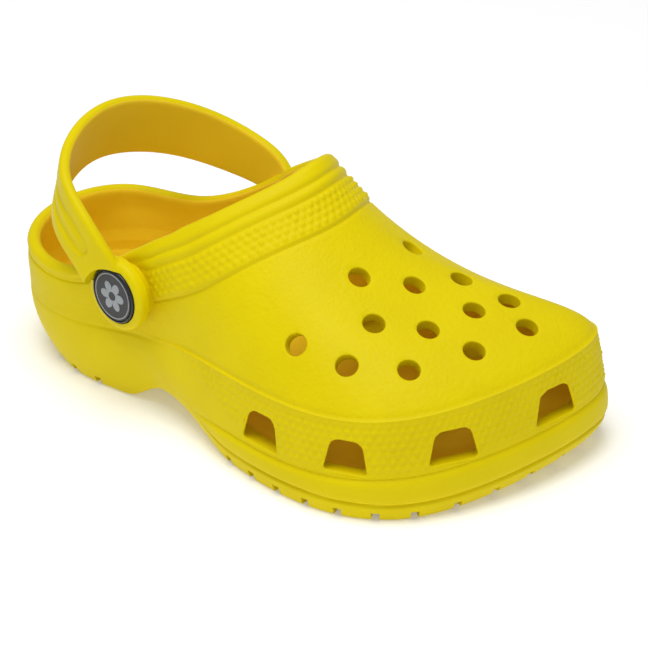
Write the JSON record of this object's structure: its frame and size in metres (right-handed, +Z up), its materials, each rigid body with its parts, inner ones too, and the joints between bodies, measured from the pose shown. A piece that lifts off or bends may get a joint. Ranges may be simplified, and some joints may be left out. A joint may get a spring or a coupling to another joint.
{
  "type": "garden clog",
  "caption": "Child's moulded foam garden clog for the right foot, with vents, side windows and a swinging heel strap on snap rivets.",
  "frame": {"origin": "on the ground, under the middle of the shoe's bounding box", "axes": "+Z up, -Y towards the toe and +Y towards the heel, +X towards the inner side of the right foot"},
  "size_m": [0.096, 0.196, 0.0861],
  "materials": {
    "body_foam": "matt moulded foam with a fine leather-like grain",
    "strap_foam": "smooth satin moulded foam",
    "rivet_plastic": "satin black moulded plastic",
    "badge_plastic": "satin black disc with a plain grey ring and flower"
  },
  "bodies": {
    "clog": {"clog_body": "body_foam"},
    "strap": {"heel_strap": "strap_foam"},
    "lateral_snap": {"lateral_rivet": "rivet_plastic", "lateral_badge": "badge_plastic", "lateral_cap": "rivet_plastic"},
    "medial_snap": {"medial_rivet": "rivet_plastic", "medial_badge": "badge_plastic", "medial_cap": "rivet_plastic"}
  },
  "joints": [
    {"name": "strap_swing", "type": "hinge", "parent": "clog", "child": "strap", "pos_m": [0, 0.0315, 0.0437], "axis": [0.9892, -0.1464, 0], "range_deg": [-22, 76]},
    {"name": "lateral_rivet_spin", "type": "hinge", "parent": "clog", "child": "lateral_snap", "pos_m": [-0.0371, 0.03699, 0.0437], "axis": [0.9892, -0.1464, 0], "continuous": true},
    {"name": "medial_rivet_spin", "type": "hinge", "parent": "clog", "child": "medial_snap", "pos_m": [0.0371, 0.02601, 0.0437], "axis": [0.9892, -0.1464, 0], "continuous": true}
  ]
}
